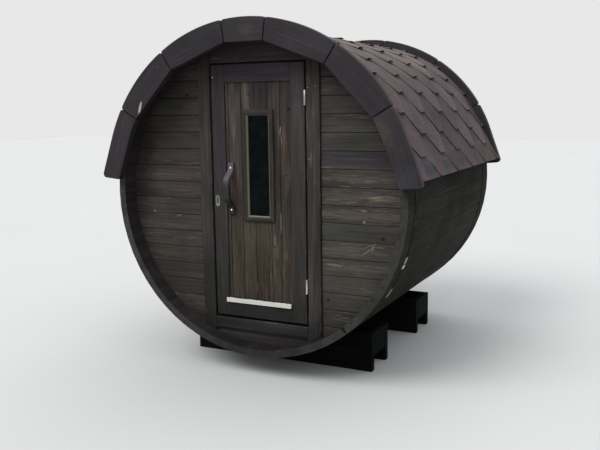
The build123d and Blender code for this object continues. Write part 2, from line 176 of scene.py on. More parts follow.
def timber(name, boards, material, body, slot, *replaced):
    """Joins boards into one piece that carries the readings the wood materials use."""
    points, faces, grains, shares, edges = [], [], [], [], []
    for board in boards:
        first = len(points)
        points += board[0]
        faces += [[first + index for index in face] for face in board[1]]
        grains += board[2]
        shares += board[3]
        edges += board[4]
    piece = new_object(name, points, faces, material)
    layers = piece.data.attributes
    grain_layer = layers.new("grain", "FLOAT_VECTOR", "POINT")
    grain_layer.data.foreach_set("vector", [value for grain in grains for value in grain])
    layers.new("board", "FLOAT", "POINT").data.foreach_set("value", shares)
    layers.new("edge", "FLOAT", "POINT").data.foreach_set("value", edges)
    smooth_under(piece.data, 50)
    piece.modifiers.new("flat faces stay flat", "WEIGHTED_NORMAL").keep_sharp = True
    settle(piece, body, slot, *replaced)
    return piece


def shade(colour):
    """A colour as it looks on a screen, from 0 to 255, as Blender's linear one. Others stay as they are."""
    if isinstance(colour, bpy.types.NodeSocket) or len(colour) == 4:
        return colour
    return [((c / 255 + 0.055) / 1.055) ** 2.4 if c > 10 else c / 3294 for c in colour] + [1]


def against(tone, usual, share=1):
    """How much a colour lightens or darkens the usual one."""
    return [1 + share * (part / whole - 1) for part, whole in zip(shade(tone), shade(usual))]


def feed(node, sockets):
    """Links or sets a node's sockets by name or number."""
    for socket, value in sockets.items():
        if isinstance(value, bpy.types.NodeSocket):
            node.id_data.links.new(value, node.inputs[socket])
        else:
            node.inputs[socket].default_value = value


def put(kind, sockets, tree=None, **settings):
    """Adds a node with its settings and sockets, beside the nodes that feed it if no tree is given."""
    if not tree:
        tree = next(value for value in sockets.values() if isinstance(value, bpy.types.NodeSocket)).id_data
    added = tree.nodes.new("ShaderNode" + kind)
    for setting, value in settings.items():
        setattr(added, setting, value)
    feed(added, sockets)
    return added


def maths(operation, *values):
    return put("Math", dict(enumerate(values)), operation=operation).outputs[0]


def times(first, second):
    return maths("MULTIPLY", first, second)


def scaled(value, by, plus):
    return maths("MULTIPLY_ADD", value, by, plus)


def fade(value, low, high):
    """0 at low, 1 at high, and smooth between."""
    return put("MapRange", {0: value, 1: low, 2: high}, interpolation_type="SMOOTHSTEP").outputs[0]


def blend(share, first, second, way="MIX"):
    sockets = {0: share, 6: shade(first), 7: shade(second)}
    return put("Mix", sockets, data_type="RGBA", blend_type=way).outputs[2]


def stain(colour, tone, share, strength):
    """Lays a tone over a colour where share says, as strongly as strength says."""
    return blend(times(share, strength), colour, tone)


def ramp(value, stops):
    """A colour from those given at shares of a value."""
    added = put("ValToRGB", {0: value})
    bands = added.color_ramp.elements
    while len(bands) < len(stops):
        bands.new(0.5)
    for band, (position, colour) in zip(bands, stops):
        band.position = position
        band.color = shade(colour)
    return added.outputs[0]


def stretched(place, factors):
    return put("VectorMath", {0: place, 1: factors}, operation="MULTIPLY").outputs[0]


def length_of(vector):
    return put("VectorMath", {0: vector}, operation="LENGTH").outputs[1]


def noise(place, scale, detail=2, roughness=0.5):
    """Noise at one scale, or at three along X, Y and Z."""
    if isinstance(scale, tuple):
        place, scale = stretched(place, scale), 1
    sockets = {"Vector": place, "Scale": scale, "Detail": detail, "Roughness": roughness}
    return put("TexNoise", sockets).outputs[0]


def reading(shader, name):
    """What a piece's mesh says at each place."""
    return put("Attribute", {}, shader.id_data, attribute_name=name).outputs


def bump(height, distance, strength):
    return put("Bump", {"Height": height, "Distance": distance, "Strength": strength}).outputs[0]


def effect(name, takes):
    """Starts a shader node group with its named inputs."""
    group = bpy.data.node_groups.new(name, "ShaderNodeTree")
    for socket, value in takes.items():
        kind = "NodeSocketVector" if isinstance(value, tuple) else "NodeSocketFloat"
        group.interface.new_socket(socket, in_out="INPUT", socket_type=kind).default_value = value
    return group, group.nodes.new("NodeGroupInput").outputs


def give(group, masks):
    """Ends a shader node group with its named outputs."""
    for socket in masks:
        group.interface.new_socket(socket, in_out="OUTPUT", socket_type="NodeSocketFloat")
    feed(group.nodes.new("NodeGroupOutput"), masks)


softwood, given = effect("Softwood grain", {"Grain": (0, 0, 0), "Ring Lines": 9, "Knot Share": 0.3})
grain = given["Grain"]
knot_cells = stretched(grain, (2.4, 8, 8))
knots = put("TexVoronoi", {"Vector": knot_cells, "Scale": 1, "Randomness": 0.85}).outputs
knot_away = put("VectorMath", {0: knot_cells, 1: knots["Position"]}, operation="SUBTRACT").outputs[0]
knot_reach = length_of(stretched(knot_away, (0.36, 0.125, 0.015)))
knot_dice = put("SeparateColor", {0: knots["Color"]}).outputs
knot_here = maths("LESS_THAN", knot_dice[0], given["Knot Share"])
knot_size = scaled(knot_dice[1], 0.011, 0.004)
bend = times(fade(knot_reach, 0.075, 0), knot_here)
growth = scaled(noise(grain, (0.7, 6, 6), 1), given["Ring Lines"], times(bend, 1.6))
rings = maths("POWER", maths("FRACT", growth), 2.2)
fibre = noise(grain, (5, 210, 210), 3, 0.6)
dashes = fade(noise(grain, (9, 120, 120)), 0.58, 0.68)
worn_through = fade(noise(grain, (1.6, 9, 9), 3), 0.48, 0.64)
give(softwood, {
    "Rings": rings,
    "Fibre": fibre,
    "Streak": noise(grain, (1.1, 17, 17), 4, 0.62),
    "Vein": noise(grain, (2.2, 75, 75), 3, 0.6),
    "Knot": times(knot_here, fade(maths("DIVIDE", knot_reach, knot_size), 1.15, 0.75)),
    "Fleck": times(dashes, worn_through),
    "Height": scaled(rings, 0.55, times(fibre, 0.7))})

# Where a wood takes its edge tone: wear on most woods, dark joints on boards, painted shade on the walls'
# lower edges and a painted highlight on the window moulding's inner edge.
edge_wear_and_light, given = effect("Edge wear and painted light", {"Edge": 0, "Place": (0, 0, 0), "Amount": 0.5})
edge_noise = noise(given["Place"], 11, 5, 0.65)
threshold = maths("SUBTRACT", 0.78, times(given["Amount"], 0.5))
give(edge_wear_and_light, {"Wear And Painted Light": times(given["Edge"], fade(maths("SUBTRACT", edge_noise, threshold), -0.03, 0.12))})

weather, given = effect("Weathering", {"Place": (0, 0, 0)})
give(weather, {
    "Patches": fade(noise(given["Place"], 2.3, 4, 0.6), 0.36, 0.7),
    "Tint": fade(noise(given["Place"], 4.1, 3, 0.55), 0.42, 0.62),
    "Specks": fade(noise(given["Place"], 95), 0.68, 0.78)})


def marked(colour, place, marks, streaks=(70, 70, 10), along_y=(-0.88, 0.2), ragged_by=0.9, over=None):
    """Marks: x, height over the axis, half height and width, lean, colour and strength. Large ones are soft.
    With over, the usual colour, a mark only lightens or darkens what is there, so the grain stays."""
    uneven = maths("SUBTRACT", noise(place, streaks, 3, 0.6), 0.5)
    ragged = scaled(uneven, ragged_by, 0.45)
    for x, z, tall, wide, lean, tone, strength in marks:
        spot = put("Mapping", {
            "Vector": place, "Location": (x, along_y[0], axis_height + z), "Scale": (wide, along_y[1], tall),
            "Rotation": (0, radians(lean), 0)}, vector_type="TEXTURE").outputs[0]
        softness = min(0.2 + 3 * min(wide, tall), 0.8)
        share = times(fade(maths("ADD", length_of(spot), ragged), 1.3 + softness, 1.3 - softness), strength)
        colour = blend(share, colour, against(tone, over), "MULTIPLY") if over else blend(share, colour, tone)
    return colour


def new_material(name):
    """A material with its shader and the place on the object."""
    material = bpy.data.materials.new(name)
    material.use_nodes = True
    tree = material.node_tree
    return material, tree.nodes["Principled BSDF"], put("TexCoord", {}, tree).outputs["Object"]


def stained_wood(
        name, deep, middle, pale, tint, edge_tone, edge_amount=0.5, edge_up_to=2, rings_show=0.4,
        fibre_show=0.35, knot_share=0.3, contrast=2.4, spread=0.45, cloud=0.45, rough=0.58, relief=0.0009,
        gloss=0.14, bare_within=0, porch=None, fleck_tone=None, fleck_share=0.4, by_height=None, marks=(),
        whole=False):
    """Softwood under a dark stain. With whole, the grain follows the place on the object, for a CAD node."""
    material, shader, place = new_material(name)
    x, y, z = put("SeparateXYZ", {0: place}).outputs
    if whole:
        grain = put("CombineXYZ", {0: y, 1: z, 2: x}).outputs[0]
        board = noise(grain, (0, 9, 0), 0)
    else:
        grain = reading(shader, "grain")["Vector"]
        board, edge = reading(shader, "board")["Fac"], reading(shader, "edge")["Fac"]
    wood = put("Group", {"Grain": grain, "Knot Share": knot_share}, node_tree=softwood).outputs
    aged = put("Group", {"Place": place}, node_tree=weather).outputs
    tone = scaled(board, spread, scaled(wood["Streak"], contrast, 0.5 - (contrast + spread) / 2))
    colour = ramp(tone, [(0.12, deep), (0.5, middle), (0.88, pale)])
    hue = maths("FRACT", times(board, 7.31))
    colour = blend(scaled(hue, 0.4, times(aged["Tint"], cloud)), colour, tint)
    colour = stain(colour, deep, wood["Rings"], rings_show)
    colour = stain(colour, pale, fade(wood["Vein"], 0.53, 0.72), 0.6)
    colour = stain(colour, deep, fade(wood["Vein"], 0.47, 0.3), 0.6)
    colour = stain(colour, pale, fade(wood["Fibre"], 0.45, 0.75), fibre_show)
    # By_height darkens or lightens the wood by height; in the staves, frame and door it paints the shade
    # under the eaves, header and fascia.
    if by_height:
        lowest, highest = by_height[0][0], by_height[-1][0]
        height = put("MapRange", {0: scaled(aged["Tint"], 0.05, z), 1: lowest, 2: highest}).outputs[0]
        stops = [((at - lowest) / (highest - lowest), against(seen, middle, share))
            for at, seen, share in by_height]
        colour = blend(1, colour, ramp(height, stops), "MULTIPLY")
    if fleck_tone:
        colour = stain(colour, fleck_tone, wood["Fleck"], fleck_share)
        colour = stain(colour, fleck_tone, aged["Specks"], 0.3)
    if bare_within:
        off_axis = length_of(put("CombineXYZ", {0: x, 1: maths("SUBTRACT", z, axis_height)}).outputs[0])
        inside = maths("LESS_THAN", off_axis, bare_radius)
        along = maths("ABSOLUTE", y)
        if porch:
            sides = times(maths("GREATER_THAN", along, porch_start), inside)
            for covers, tones in zip((sides, maths("GREATER_THAN", along, stave_end)), porch):
                colour = stain(colour, ramp(tone, list(zip((0.1, 0.5, 0.9), tones))), covers, 0.85)
        raw = ramp(tone, [(0.1, (139, 103, 66)), (0.5, (176, 140, 97)), (0.9, (201, 169, 124))])
        raw = stain(raw, (146, 100, 58), wood["Rings"], 0.45)
        colour = blend(times(inside, maths("LESS_THAN", along, bare_within)), colour, raw)
    colour = stain(colour, (24, 18, 14), wood["Knot"], 0.85)
    colour = stain(colour, deep, aged["Patches"], 0.3)
    if not whole:
        # Edges that face higher than edge_up_to keep their colour, so on the walls only the edges that face
        # down or sideways take the dark edge tone, as painted shade.
        normal = put("NewGeometry", {}, shader.id_data).outputs["True Normal"]
        rises = put("SeparateXYZ", {0: normal}).outputs[2]
        edge = times(edge, fade(rises, edge_up_to + 0.2, edge_up_to - 0.2))
        worn = put("Group", {"Edge": edge, "Place": place, "Amount": edge_amount}, node_tree=edge_wear_and_light)
        colour = blend(worn.outputs["Wear And Painted Light"], colour, edge_tone)
    for places, settings in marks:
        colour = marked(colour, place, places, **settings)
    feed(shader, {
        "Base Color": colour,
        "Roughness": scaled(aged["Patches"], 0.12, scaled(wood["Fibre"], 0.16, rough - 0.1)),
        "Specular IOR Level": gloss,
        "Normal": bump(wood["Height"], relief, 0.8)})
    return material


def arc_points(radius, start, end, count, rise=0):
    """Points on the barrel's round between two angles in degrees, with heights counted from rise."""
    spread = [radians(start + (end - start) * n / count) for n in range(count + 1)]
    return [(radius * cos(a), radius * sin(a) + rise) for a in spread]


cradle_wood = stained_wood(
    "cradle dark stain with painted shade", (7, 9, 9), (14, 15, 15), (27, 28, 30), (12, 13, 16), (44, 38, 32),
    edge_amount=0.35, rough=0.8, gloss=0.05)
seat_radius = barrel_radius + 0.0003
seat_half = degrees(acos((axis_height - cradle_height) / seat_radius))
saddle_outline = [(-cradle_half_width, 0), (cradle_half_width, 0), (cradle_half_width, cradle_height)]
saddle_outline += arc_points(seat_radius, -90 + seat_half, -90 - seat_half, 24, axis_height)
saddle_outline.append((-cradle_half_width, cradle_height))
for end_name, y_near, y_far in (("front", -0.595, -0.303), ("rear", 0.303, 0.595)):
    saddles = [plank(saddle_outline, cradle_plank, facing(y_back, 0), 11 + int(1000 * y_back), 0.004)
        for y_back in (y_near + cradle_plank, y_far)]
    # The end boards take the pale end of the tone (share 0.95) as painted light on their outer faces.
    closers = []
    for side in (-1, 1):
        x_low, x_high = sorted((side * (cradle_half_width - cradle_plank), side * cradle_half_width))
        low = (x_low, y_near + cradle_plank + 0.0002, 0.095)
        high = (x_high, y_far - cradle_plank - 0.0002, cradle_height)
        closers.append(beam(low, high, "Y", 40 + side + int(100 * y_far), 0.004, share=0.95))
    for part_name, boards in (("saddles", saddles), ("ends", closers)):
        node = "cradle_%s_%s" % (end_name, part_name)
        timber(node + "_boards", boards, cradle_wood, "cabin", "cradle_wood", node)

# Staves
# Sixty bevelled softwood staves stand edge to edge in a ring, oiled dark outside and left bare in the
# room. Each long edge is eased, which draws a thin line at every joint. The outside is coloured darker than
# the walls, partly as painted shade on the barrel's sides, with a painted shade in a band just under the
# eaves and a painted highlight along the joint level with the axis on the right.
stave_count, stave_length, stave_inner = 60, 1.9, 0.94
room_end = 0.8005
porch_tone = (50, 45, 48)
# A painted highlight along the joint level with the axis on the right side.
painted_joint_highlight = [(0.985, 0.002, 0.0035, 0.03, 0, (86, 90, 78), 0.6)]
porch_marks = [
    (-0.86, -0.32, 0.4, 0.2, 0, (60, 54, 58), 0.9),
    (0, -0.94, 0.1, 0.55, 0, (38, 35, 39), 0.9)]
stave_wood = stained_wood(
    "stave dark oil with painted shade", (27, 28, 21), (41, 43, 34), (58, 59, 47), (40, 37, 33), (27, 27, 22),
    edge_amount=0.6, rings_show=0.3, spread=0.18, contrast=1.6, rough=0.7, gloss=0.03, bare_within=room_end,
    porch=(((38, 35, 37), porch_tone, (62, 57, 60)), ((50, 50, 50), (66, 65, 64), (79, 76, 75))),
    # Darker towards the ground; from the axis up, a painted shade of the eaves darkens the staves and turns
    # them bluish.
    by_height=[
        (0.14, (24, 24, 25), 0.9), (0.28, (34, 33, 32), 0.8), (0.45, (40, 45, 36), 0.7),
        (0.75, (44, 47, 40), 0.4), (0.98, (44, 47, 40), 0), (1.1, (36, 43, 41), 0),
        (1.14, (34, 41, 40), 0.5)],
    marks=[
        (painted_joint_highlight, {"streaks": (30, 20, 30), "along_y": (-0.09, 0.46)}),
        (porch_marks, {"streaks": (8, 8, 8), "along_y": (-0.9, 0.1), "over": porch_tone})])


def on_the_round(y, angle):
    """Matrix for a board of the barrel: its outline goes round and outwards, its thickness to the rear."""
    sine, cosine = sin(angle), cos(angle)
    return placed((0, y, axis_height), (-sine, 0, cosine), (cosine, 0, sine))


half_turn = radians(180 / stave_count)
stave_outline = [(way * radius * sin(half_turn), radius * cos(half_turn))
    for radius, way in ((stave_inner, -1), (stave_inner, 1), (barrel_radius, 1), (barrel_radius, -1))]
staves = []
for number in range(stave_count):
    place = on_the_round(-stave_length / 2, radians(-90 + (number + 0.5) * 360 / stave_count))
    staves.append(plank(stave_outline, stave_length, place, 100 + number, stave=True))
timber("barrel_staves", staves, stave_wood, "cabin", "stave_wood", *["staves_%02d" % n for n in range(1, 11)])

# Hoops
# Two flat steel bands, pulled tight over the corners of the staves. They have gone dull and dark, with
# brighter places where the dull layer has gone, and painted glints low on the front band's right side.


def weathered_metal(name, dark, bright, share, rough, marks=(), metallic=0.75, gloss=0.5):
    """Metal that is dull and dark, with brighter places where the dull layer has gone. Its marks lay spots
    over it, such as painted glints.
    """
    material, shader, place = new_material(name)
    cloud = noise(place, 9, 5, 0.7)
    scratch = noise(place, (260, 14, 260))
    bright_share = fade(scaled(scratch, 0.25, cloud), 0.86 - share, 1.02 - share)
    feed(shader, {
        "Base Color": marked(blend(bright_share, dark, bright), place, marks, (90, 90, 90)),
        "Roughness": scaled(bright_share, -0.18, rough),
        "Metallic": metallic,
        "Specular IOR Level": gloss,
        "Normal": bump(cloud, 0.0006, 0.5)})
    return material


def dress(material, *names):
    """Gives CAD nodes a better material in place of their own."""
    for name in names:
        nodes[name].data.materials.clear()
        nodes[name].data.materials.append(material)


# Painted glints: bright marks where the front band catches the light low on its right side.
painted_glints = [
    (0.926, -0.332, 0.03, 0.006, 20, (200, 200, 190), 0.8),
    (0.913, -0.372, 0.015, 0.009, 22, (240, 240, 232), 0.9),
    (0.828, -0.534, 0.04, 0.007, 33, (170, 170, 156), 0.8)]
dress(weathered_metal("hoop dull steel", (30, 32, 28), (62, 64, 56), 0.18, 0.8, painted_glints, 0.1, 0.05), "hoops")

# End walls
# Both ends are closed by horizontal softwood boards with eased edges, let into a groove round the
# staves. The front wall stops at the door posts, and one low piece fills in under the threshold.
painted_light_shade_and_board_tones = [
    # Painted light: a paler zone low on the right.
    (0.62, -0.24, 0.42, 0.44, 0, (80, 78, 70), 0.2),
    # Painted shade under the fascia at the upper left.
    (-0.66, 0.65, 0.3, 0.26, -40, (24, 28, 20), 0.55),
    # A darker zone low on the left.
    (-0.6, -0.45, 0.2, 0.34, 0, (50, 47, 43), 0.4),
    # Painted shade along the left rim.
    (-0.87, 0.2, 0.42, 0.1, 0, (38, 35, 38), 0.6),
    # Single boards with tones of their own.
    (0.62, 0.228, 0.055, 0.34, 0, (50, 48, 53), 0.7),
    (0.6, 0.335, 0.055, 0.32, 0, (50, 54, 49), 0.6),
    (0.62, -0.192, 0.055, 0.38, 0, (58, 60, 54), 0.6),
    (-0.56, 0.12, 0.055, 0.2, 0, (64, 59, 58), 0.5)]
pale_streaks = [
    (0.66, 0.018, 0.032, 0.4, 0, (112, 105, 86), 0.3),
    (0.66, -0.088, 0.032, 0.4, 0, (112, 103, 90), 0.3),
    (0.6, 0.12, 0.028, 0.36, 0, (92, 88, 80), 0.3),
    (0.56, -0.3, 0.028, 0.28, 0, (98, 94, 84), 0.3),
    (0.62, -0.405, 0.026, 0.34, 0, (100, 95, 88), 0.3),
    (0.6, 0.44, 0.026, 0.3, 0, (84, 80, 70), 0.3),
    (-0.58, 0.12, 0.028, 0.22, 0, (96, 89, 84), 0.3),
    (-0.6, 0.018, 0.03, 0.28, 0, (92, 86, 80), 0.3),
    (-0.6, -0.405, 0.028, 0.26, 0, (88, 84, 76), 0.25)]
scars = [
    (0.684, -0.058, 0.005, 0.026, 8, (132, 126, 110), 0.6),
    (0.684, -0.125, 0.011, 0.008, 0, (150, 144, 132), 0.6),
    (0.706, -0.294, 0.052, 0.005, 52, (128, 106, 94), 0.75),
    (0.742, -0.268, 0.034, 0.004, 20, (132, 112, 102), 0.65),
    (0.716, -0.262, 0.005, 0.036, -20, (120, 104, 94), 0.5),
    (0.494, -0.389, 0.008, 0.06, 3, (124, 118, 106), 0.6),
    (0.696, 0, 0.012, 0.026, 0, (44, 42, 34), 0.6),
    (-0.79, -0.13, 0.012, 0.014, 30, (120, 108, 108), 0.6),
    (-0.6, -0.15, 0.008, 0.02, -20, (116, 104, 100), 0.6),
    (-0.598, 0.339, 0.004, 0.004, 0, (14, 12, 10), 0.9),
    (0.53, 0.445, 0.004, 0.004, 0, (14, 12, 10), 0.8)]
wall_tone = (60, 58, 53)
# The dark edge tone marks the joints; on the edges that face down it is also painted shade.
wall_wood = stained_wood(
    "wall dark oil", (38, 37, 33), wall_tone, (84, 80, 72), (62, 55, 55), (14, 12, 11),
    edge_amount=1.4, edge_up_to=0.3, rings_show=0.25, knot_share=0.12, contrast=1.7, spread=0.35, cloud=0.6,
    bare_within=room_end, fleck_tone=(124, 118, 108),
    by_height=[(0.2, (34, 33, 31), 0.9), (0.44, (48, 46, 41), 0.5), (0.6, (56, 54, 49), 0)],
    marks=[
        (painted_light_shade_and_board_tones, {"streaks": (5, 20, 20), "ragged_by": 1.6, "over": wall_tone}),
        (pale_streaks, {"streaks": (13, 30, 150), "ragged_by": 4, "over": wall_tone}),
        (scars, {"streaks": (120, 120, 220), "ragged_by": 1.8})])
wall_radius = 0.9517
wall_thickness, wall_easing = 0.045, 0.0035
front_wall_back, rear_wall_back = -0.795, 0.84
board_height = 0.1054
board_gap = 0.0014
opening_half, post_outer = 0.3298, 0.4152
first_row = 0.071 - 10 * board_height
wall_rows = [
    (max(first_row + n * board_height, -wall_radius), min(first_row + (n + 1) * board_height, wall_radius))
    for n in range(19) if first_row + (n + 1) * board_height > -wall_radius + 0.004]


def row_outline(low, high, near, side):
    """A board's outline between two heights, from an upright edge out to the round of the barrel."""
    tall = sqrt(wall_radius ** 2 - near ** 2)
    low, high = max(low, -tall) + board_gap / 2, min(high, tall) - board_gap / 2
    if high - low < 0.006:
        return None
    spread = [low + (high - low) * n / 8 for n in range(9)]
    rim = [(sqrt(max(wall_radius ** 2 - z * z, 0)), z) for z in spread]
    outline = [(near, low)] + [point for point in rim if point[0] > near + 0.002] + [(near, high)]
    outline = outline if side > 0 else [(-x, z) for x, z in reversed(outline)]
    return outline if len(outline) > 3 else None


for side, side_name in ((-1, "left"), (1, "right")):
    boards = []
    for row, (low, high) in enumerate(wall_rows):
        outline = row_outline(low, high, post_outer, side)
        if outline:
            place = facing(front_wall_back + random.Random(row * 7 + side).uniform(0, 0.0008))
            boards.append(plank(outline, wall_thickness, place, 300 + row * 2 + side, wall_easing))
    timber("front_boards_" + side_name, boards, wall_wood, "cabin", "wall_wood", "front_wall_" + side_name)
foot_deg = degrees(acos(opening_half / wall_radius))
upper_strip = oblong(-opening_half, -0.8776, opening_half, -0.8582)
lower_strip = arc_points(wall_radius, -180 + foot_deg, -foot_deg, 12)
lower_strip += [(opening_half, -0.8776), (-opening_half, -0.8776)]
boards = [plank(strip, wall_thickness, facing(front_wall_back), 391 + n)
    for n, strip in enumerate((upper_strip, lower_strip))]
timber("front_boards_bottom", boards, wall_wood, "cabin", "wall_wood", "front_wall_bottom")
boards = []
for row, (low, high) in enumerate(wall_rows):
    half = row_outline(low, high, 0, 1)
    if half:
        outline = half[1:-1] + [(-x, z) for x, z in reversed(half[1:-1])]
        outline = [point for n, point in enumerate(outline)
            if (Vector(point) - Vector(outline[n - 1])).length > 0.001]
        place = facing(rear_wall_back - random.Random(row * 5).uniform(0, 0.0008))
        boards.append(plank(outline, wall_thickness, place, 400 + row, wall_easing))
timber("rear_boards", boards, wall_wood, "cabin", "wall_wood", "rear_wall")

# Door frame
# Two posts cut to the round of the barrel stand each side of a header and a threshold, and narrow
# stops inside them catch the leaf. All are planed softwood under the same dark stain.
frame_marks = [
    (0.357, 0.228, 0.055, 0.011, 2, (92, 80, 66), 0.6),
    (0.359, 0.24, 0.026, 0.004, 0, (118, 86, 64), 0.4),
    (-0.372, -0.62, 0.3, 0.09, 0, (34, 33, 28), 0.75)]
frame_wood = stained_wood(
    "frame dark oil", (36, 34, 31), (57, 54, 49), (82, 77, 69), (58, 51, 54), (88, 83, 74),
    contrast=2, bare_within=room_end, fleck_tone=(112, 106, 96), marks=[(frame_marks, {})],
    # Darker towards the bottom, and a painted shade at the top of the header, under the fascia.
    by_height=[
        (0.2, (24, 24, 25), 0.9), (0.33, (31, 31, 33), 0.9), (0.39, (44, 43, 39), 0.5),
        (0.6, (52, 50, 45), 0), (1.88, (34, 32, 31), 0), (1.93, (32, 31, 30), 0.45)])
frame_reach = 0.9384
frame_front, frame_back = -0.855, -0.774
stop_inner = 0.3038


def on_end(y):
    """Matrix for an upright board: its outline is z and x, and its thickness goes to the rear."""
    return placed((0, y, axis_height), (0, 0, 1), (1, 0, 0))


def level_beam(x_span, y_span, z_span, *rest):
    """A straight board between two places each way, with heights from the barrel axis."""
    low, high = zip(x_span, y_span, (axis_height + z_span[0], axis_height + z_span[1]))
    return beam(low, high, *rest)


post_x = (0.33, 0.358, 0.387, 0.415)
post_outline = [(way * sqrt(frame_reach ** 2 - x * x), x)
    for way, xs in ((-1, post_x), (1, post_x[::-1])) for x in xs]
for side, side_name in ((-1, "left"), (1, "right")):
    outline = post_outline if side > 0 else [(z, -x) for z, x in reversed(post_outline)]
    post = plank(outline, 0.081, on_end(frame_front), 500 + side, 0.004, 3, 0.45 + 0.15 * side)
    timber("post_" + side_name, [post], frame_wood, "cabin", "frame_wood", "door_post_" + side_name)
header_x = [opening_half - 2 * opening_half * n / 12 for n in range(13)]
header_outline = [(-opening_half, 0.806), (opening_half, 0.806)]
header_outline += [(x, sqrt(frame_reach ** 2 - x * x)) for x in header_x]
header = plank(header_outline, 0.078, facing(frame_back), 510, 0.004, 3)
threshold_board = level_beam(
    (-opening_half, opening_half), (frame_front, frame_back), (-0.858, -0.786), "X", 511, 0.005, 3)
stop_y = (-0.804, -0.782)
stops = [level_beam(x_span, stop_y, (-0.7858, 0.7796), "Z", 520 + n, 0.002)
    for n, x_span in enumerate(((stop_inner, opening_half), (-opening_half, -stop_inner)))]
stops.append(level_beam((-opening_half, opening_half), stop_y, (0.7798, 0.8058), "X", 525, 0.002))
for piece_name, node, boards in (
        ("header_board", "door_header", [header]),
        ("threshold_board", "door_threshold", [threshold_board]),
        ("stop_battens", "door_stops", stops)):
    timber(piece_name, boards, frame_wood, "cabin", "frame_wood", node)

# Floor
# Nine bare softwood slats lie along the room on three bearers that follow the round of the staves.
floor_wood = stained_wood(
    "floor bare softwood", (139, 103, 66), (176, 140, 97), (201, 169, 124), (170, 128, 92), (120, 92, 62),
    edge_amount=0.4, rough=0.6)
slats = []
for number in range(9):
    middle = (number - 4) * 0.102
    x_span = (middle - 0.048, middle + 0.048)
    slats.append(level_beam(x_span, (-0.766, 0.787), (-0.812, -0.79), "Y", 600 + number))
timber("slats", slats, floor_wood, "cabin", "floor_wood", "floor_slats")
bearer_wood = stained_wood(
    "bearer bare softwood", (129, 95, 61), (166, 130, 88), (190, 158, 114), (160, 120, 86), (120, 92, 62),
    whole=True)
dress(bearer_wood, "floor_bearers")

# Door leaf
# Two stiles and two rails are framed round five upright boards. The boards sit back from the frame,
# keep a redder stain with pale worn streaks, and are notched for the window.
door_wood = stained_wood(
    "door dark oil", (36, 33, 34), (53, 49, 51), (72, 67, 66), (53, 48, 54), (80, 74, 70),
    edge_amount=0.45, contrast=2.1, bare_within=0.8115, fleck_tone=(92, 87, 84), fleck_share=0.25,
    # Darker and greener towards the bottom, and a painted shade of the fascia along the top of the leaf.
    by_height=[
        (0.34, (26, 27, 25), 0.9), (0.5, (34, 36, 32), 0.8), (0.72, (46, 47, 42), 0.6),
        (1.05, (56, 55, 48), 0.6), (1.22, (56, 54, 51), 0.35), (1.4, (56, 52, 54), 0),
        (1.74, (40, 38, 43), 0), (1.85, (40, 38, 44), 0.35)])
worn_patches = [
    (0.147, -0.16, 0.07, 0.003, 0, (150, 142, 116), 0.7),
    (0.061, -0.3, 0.07, 0.0025, 1, (122, 108, 86), 0.5),
    (-0.027, -0.571, 0.04, 0.0028, 0, (136, 124, 98), 0.5),
    (0.151, 0.395, 0.03, 0.0036, 6, (160, 148, 138), 0.7),
    (0.158, 0.342, 0.034, 0.0032, -6, (140, 128, 116), 0.6),
    (0.099, -0.309, 0.009, 0.006, 0, (24, 18, 16), 0.9),
    (0.054, -0.627, 0.01, 0.006, 0, (26, 20, 17), 0.9)]
pale_boards = [
    (-0.172, 0.53, 0.2, 0.036, 0, (80, 73, 64), 0.7),
    (-0.086, 0.61, 0.12, 0.032, 0, (88, 83, 70), 0.8)]
worn_zones = [
    (0.09, -0.56, 0.15, 0.08, 0, (76, 64, 57), 0.6),
    (-0.03, -0.38, 0.24, 0.12, 8, (80, 75, 64), 0.7),
    (0.12, -0.42, 0.16, 0.05, 0, (80, 74, 66), 0.7),
    (0.178, -0.365, 0.05, 0.016, 0, (84, 66, 58), 0.6),
    (0.02, -0.5, 0.2, 0.18, 0, (36, 33, 29), 0.7),
    (0.12, 0.2, 0.3, 0.04, 0, (36, 33, 30), 0.7),
    (-0.16, 0.15, 0.26, 0.05, 0, (72, 65, 62), 0.6),
    (0.186, 0.25, 0.24, 0.04, 0, (76, 68, 60), 0.6)]
panel_tone = (55, 50, 46)
board_wood = stained_wood(
    "door boards worn brown oil", (33, 29, 27), panel_tone, (84, 76, 66), (62, 51, 50), (17, 14, 13),
    edge_amount=1.4, edge_up_to=0.3, rings_show=0.35, fibre_show=0.4, knot_share=0.4, contrast=2.9,
    spread=0.4, bare_within=0.8215, fleck_tone=(116, 106, 94), fleck_share=0.3,
    # Darker and greener towards the bottom, and a painted shade of the fascia along the tops of the boards.
    by_height=[
        (0.42, (54, 51, 43), 0.5), (0.95, (60, 57, 48), 0.45), (1.45, (60, 56, 51), 0.2),
        (1.66, (52, 48, 50), 0.45), (1.8, (46, 42, 45), 0.6)],
    marks=[
        (pale_boards, {"streaks": (40, 20, 5), "ragged_by": 1, "over": panel_tone}),
        (worn_zones, {"streaks": (70, 30, 7), "ragged_by": 2.6, "over": panel_tone}),
        (worn_patches, {})])
leaf_front, panel_front = -0.852, -0.842
leaf_y = (leaf_front, -0.81)
leaf_low, leaf_high = -0.77, 0.794
stiles = [level_beam(x_span, leaf_y, (leaf_low, leaf_high), "Z", 700 + n, 0.003, 3, share)
    for n, (x_span, share) in enumerate((((-0.318, -0.226), 0.54), ((0.226, 0.318), 0.97)))]
rails = [level_beam((-0.2258, 0.2258), leaf_y, z_span, "X", 710 + n, 0.002, 2, 0.4)
    for n, z_span in enumerate(((leaf_low, -0.652), (0.688, 0.7187), (0.7193, leaf_high)))]
timber("stile_boards", stiles, door_wood, "door", "door_wood", "door_stiles")
timber("rail_boards", rails, door_wood, "door", "door_wood", "door_rails")
hole_half, hole_low, hole_high = 0.076, -0.128, 0.492
low, high = -0.662, 0.698
joints = [-0.236, -0.205, -0.117, -0.026, 0.062, 0.149, 0.236]
